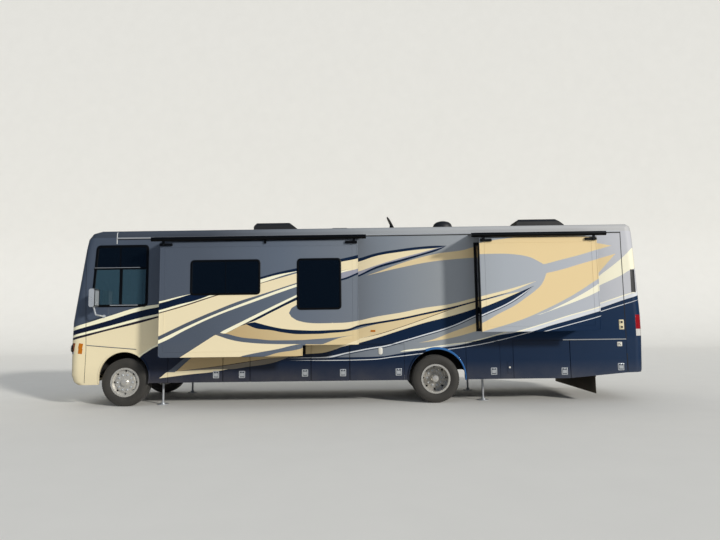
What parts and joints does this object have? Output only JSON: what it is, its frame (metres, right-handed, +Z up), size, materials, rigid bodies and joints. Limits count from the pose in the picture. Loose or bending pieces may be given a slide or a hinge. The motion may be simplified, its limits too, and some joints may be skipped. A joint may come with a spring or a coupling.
{
  "type": "motorhome",
  "caption": "Front-engined bus-style motorhome with run-out slide rooms, hinged baggage doors, twin rear wheels and levelling jacks.",
  "frame": {"origin": "on the ground, midway along, across and under the whole vehicle", "axes": "+X to the tail, -Y to the driver's side, +Z up"},
  "size_m": [11.9766, 3.9478, 4.1052],
  "materials": {
    "body_paint": "gloss",
    "roof_membrane": "matt",
    "tinted_glass": "tinted",
    "lamp_lens": "clear",
    "red_lens": "gloss",
    "coach_floor": "matt",
    "bay_lining": "matt",
    "black_steel": "satin",
    "tyre_rubber": "matt",
    "polished_rim": "polished",
    "jack_steel": "satin",
    "awning_roller": "satin",
    "awning_sheet": "matt",
    "black_plastic": "satin",
    "white_plastic": "satin",
    "rubber_flap": "matt",
    "seat_leather": "satin",
    "dash_plastic": "matt"
  },
  "bodies": {
    "coach": {"left_wall": "body_paint", "right_wall": "body_paint", "front_cap": "body_paint", "rear_cap": "body_paint", "roof": "roof_membrane", "windshield": "tinted_glass", "side_windows": "tinted_glass", "headlamps": "lamp_lens", "tail_lamps": "red_lens", "coach_floor": "coach_floor", "storage_bays": "bay_lining", "chassis_frame": "black_steel", "front_axle": "black_steel", "rear_axle": "black_steel", "engine_block": "black_steel", "fuel_tank": "black_steel", "entry_step": "black_steel", "patio_awning": "awning_roller", "front_awning_sheet": "awning_sheet", "rear_awning_sheet": "awning_sheet", "right_awning_sheet": "awning_sheet", "roof_air_conditioners": "black_plastic", "mirrors": "black_plastic", "roof_fittings": "white_plastic", "mud_flap": "rubber_flap", "cab_seats": "seat_leather", "dashboard": "dash_plastic"},
    "left_knuckle": {"left_knuckle": "black_steel"},
    "right_knuckle": {"right_knuckle": "black_steel"},
    "front_left_wheel": {"front_left_tyre": "tyre_rubber", "front_left_rim": "polished_rim"},
    "front_right_wheel": {"front_right_tyre": "tyre_rubber", "front_right_rim": "polished_rim"},
    "rear_left_wheels": {"rear_left_tyres": "tyre_rubber", "rear_left_rims": "polished_rim"},
    "rear_right_wheels": {"rear_right_tyres": "tyre_rubber", "rear_right_rims": "polished_rim"},
    "front_slide": {"front_slide_room": "body_paint", "front_slide_windows": "tinted_glass", "front_slide_awning": "awning_roller"},
    "rear_slide": {"rear_slide_room": "body_paint", "rear_slide_awning": "awning_roller"},
    "right_slide": {"right_slide_room": "body_paint", "right_slide_awning": "awning_roller"},
    "entry_door": {"entry_door": "body_paint"},
    "left_bay_door_1": {"left_bay_door_1": "body_paint"},
    "left_bay_door_2": {"left_bay_door_2": "body_paint"},
    "left_bay_door_3": {"left_bay_door_3": "body_paint"},
    "left_bay_door_4": {"left_bay_door_4": "body_paint"},
    "left_bay_door_5": {"left_bay_door_5": "body_paint"},
    "left_bay_door_6": {"left_bay_door_6": "body_paint"},
    "left_bay_door_7": {"left_bay_door_7": "body_paint"},
    "left_bay_door_8": {"left_bay_door_8": "body_paint"},
    "right_bay_door_1": {"right_bay_door_1": "body_paint"},
    "right_bay_door_2": {"right_bay_door_2": "body_paint"},
    "right_bay_door_3": {"right_bay_door_3": "body_paint"},
    "front_left_jack_leg": {"front_left_jack_leg": "jack_steel"},
    "front_right_jack_leg": {"front_right_jack_leg": "jack_steel"},
    "rear_left_jack_leg": {"rear_left_jack_leg": "jack_steel"},
    "rear_right_jack_leg": {"rear_right_jack_leg": "jack_steel"}
  },
  "joints": [
    {"name": "left_steer", "type": "hinge", "parent": "coach", "child": "left_knuckle", "pos_m": [-4.72, -0.928, 0.487], "axis": [0, 0, 1], "range_deg": [-35, 35]},
    {"name": "right_steer", "type": "hinge", "parent": "coach", "child": "right_knuckle", "pos_m": [-4.72, 0.928, 0.487], "axis": [0, 0, 1], "range_deg": [-35, 35]},
    {"name": "front_left_wheel_spin", "type": "hinge", "parent": "left_knuckle", "child": "front_left_wheel", "pos_m": [-4.72, -1.103, 0.487], "axis": [0, 1, 0], "continuous": true},
    {"name": "front_right_wheel_spin", "type": "hinge", "parent": "right_knuckle", "child": "front_right_wheel", "pos_m": [-4.72, 1.103, 0.487], "axis": [0, 1, 0], "continuous": true},
    {"name": "rear_left_wheels_spin", "type": "hinge", "parent": "coach", "child": "rear_left_wheels", "pos_m": [1.68, -1.103, 0.487], "axis": [0, 1, 0], "continuous": true},
    {"name": "rear_right_wheels_spin", "type": "hinge", "parent": "coach", "child": "rear_right_wheels", "pos_m": [1.68, 1.103, 0.487], "axis": [0, 1, 0], "continuous": true},
    {"name": "front_slide_in", "type": "slide", "parent": "coach", "child": "front_slide", "axis": [0, 1, 0], "range_m": [0, 0.549], "deforming": ["front_awning_sheet"]},
    {"name": "rear_slide_in", "type": "slide", "parent": "coach", "child": "rear_slide", "axis": [0, 1, 0], "range_m": [0, 0.549], "deforming": ["rear_awning_sheet"]},
    {"name": "right_slide_in", "type": "slide", "parent": "coach", "child": "right_slide", "axis": [0, -1, 0], "range_m": [0, 0.549], "deforming": ["right_awning_sheet"]},
    {"name": "left_bay_door_1_hinge", "type": "hinge", "parent": "coach", "child": "left_bay_door_1", "pos_m": [-3.801, -1.281, 0.7], "axis": [0, 0, -1], "range_deg": [0, 90]},
    {"name": "left_bay_door_2_hinge", "type": "hinge", "parent": "coach", "child": "left_bay_door_2", "pos_m": [-2.668, -1.281, 0.7], "axis": [0, 0, -1], "range_deg": [0, 90]},
    {"name": "left_bay_door_3_hinge", "type": "hinge", "parent": "coach", "child": "left_bay_door_3", "pos_m": [-2.11, -1.281, 0.7], "axis": [0, 0, -1], "range_deg": [0, 90]},
    {"name": "left_bay_door_4_hinge", "type": "hinge", "parent": "coach", "child": "left_bay_door_4", "pos_m": [-0.86, -1.281, 0.7], "axis": [0, 0, -1], "range_deg": [0, 90]},
    {"name": "left_bay_door_5_hinge", "type": "hinge", "parent": "coach", "child": "left_bay_door_5", "pos_m": [-0.066, -1.281, 0.7], "axis": [0, 0, -1], "range_deg": [0, 90]},
    {"name": "left_bay_door_6_hinge", "type": "hinge", "parent": "coach", "child": "left_bay_door_6", "pos_m": [2.31, -1.281, 0.7], "axis": [0, 0, -1], "range_deg": [0, 90]},
    {"name": "left_bay_door_7_hinge", "type": "hinge", "parent": "coach", "child": "left_bay_door_7", "pos_m": [3.272, -1.281, 0.7], "axis": [0, 0, -1], "range_deg": [0, 90]},
    {"name": "left_bay_door_8_hinge", "type": "hinge", "parent": "coach", "child": "left_bay_door_8", "pos_m": [4.433, -1.281, 0.7], "axis": [0, 0, -1], "range_deg": [0, 90]},
    {"name": "right_bay_door_1_hinge", "type": "hinge", "parent": "coach", "child": "right_bay_door_1", "pos_m": [-3.086, 1.281, 0.7], "axis": [0, 0, 1], "range_deg": [0, 90]},
    {"name": "right_bay_door_2_hinge", "type": "hinge", "parent": "coach", "child": "right_bay_door_2", "pos_m": [-1.386, 1.281, 0.7], "axis": [0, 0, 1], "range_deg": [0, 90]},
    {"name": "right_bay_door_3_hinge", "type": "hinge", "parent": "coach", "child": "right_bay_door_3", "pos_m": [2.31, 1.281, 0.7], "axis": [0, 0, 1], "range_deg": [0, 90]},
    {"name": "entry_door_hinge", "type": "hinge", "parent": "coach", "child": "entry_door", "pos_m": [-3.916, 1.281, 1.6], "axis": [0, 0, 1], "range_deg": [0, 90]},
    {"name": "front_left_jack_lift", "type": "slide", "parent": "coach", "child": "front_left_jack_leg", "axis": [0, 0, 1], "range_m": [0, 0.29]},
    {"name": "front_right_jack_lift", "type": "slide", "parent": "coach", "child": "front_right_jack_leg", "axis": [0, 0, 1], "range_m": [0, 0.29]},
    {"name": "rear_left_jack_lift", "type": "slide", "parent": "coach", "child": "rear_left_jack_leg", "axis": [0, 0, 1], "range_m": [0, 0.29]},
    {"name": "rear_right_jack_lift", "type": "slide", "parent": "coach", "child": "rear_right_jack_leg", "axis": [0, 0, 1], "range_m": [0, 0.29]}
  ],
  "couplings": [
    {"joint": "right_steer", "follows": "left_steer", "ratio": 1}
  ]
}
